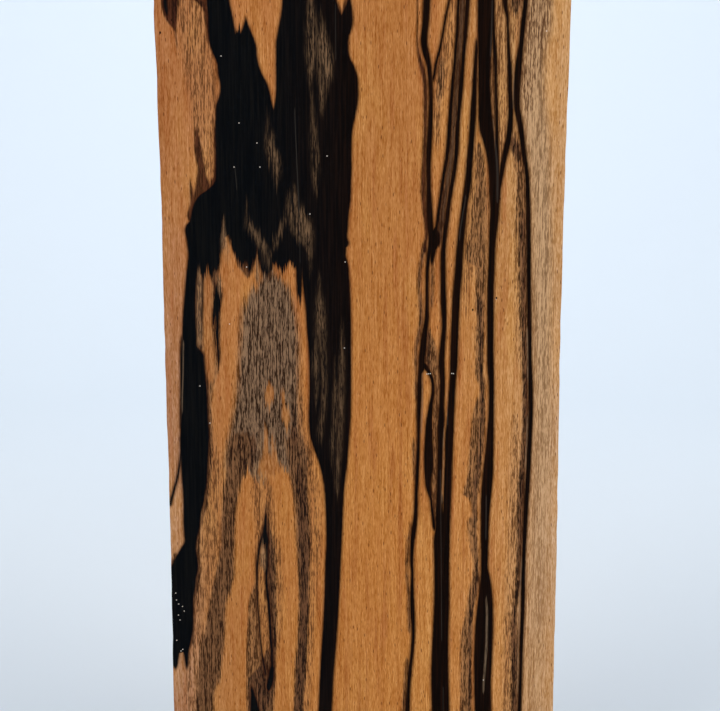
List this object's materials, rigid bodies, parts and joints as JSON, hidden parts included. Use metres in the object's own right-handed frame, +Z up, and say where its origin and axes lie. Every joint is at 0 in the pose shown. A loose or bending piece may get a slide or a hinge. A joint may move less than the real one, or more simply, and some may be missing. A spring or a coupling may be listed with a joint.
{
  "type": "black and white ebony board",
  "caption": "Planed board of black and white ebony, one solid piece with sawn ends and lightly eased edges, standing upright on its foot.",
  "frame": {"origin": "middle of the sawn foot end, where the board stands", "axes": "+Z up along the board's length, +X along its width to the right as seen from the figured face, -Y out of the figured face"},
  "size_m": [0.1152, 0.025, 0.305],
  "materials": {
    "ebony_wood": "satin"
  },
  "bodies": {
    "root": {"ebony_board": "ebony_wood"}
  },
  "joints": []
}
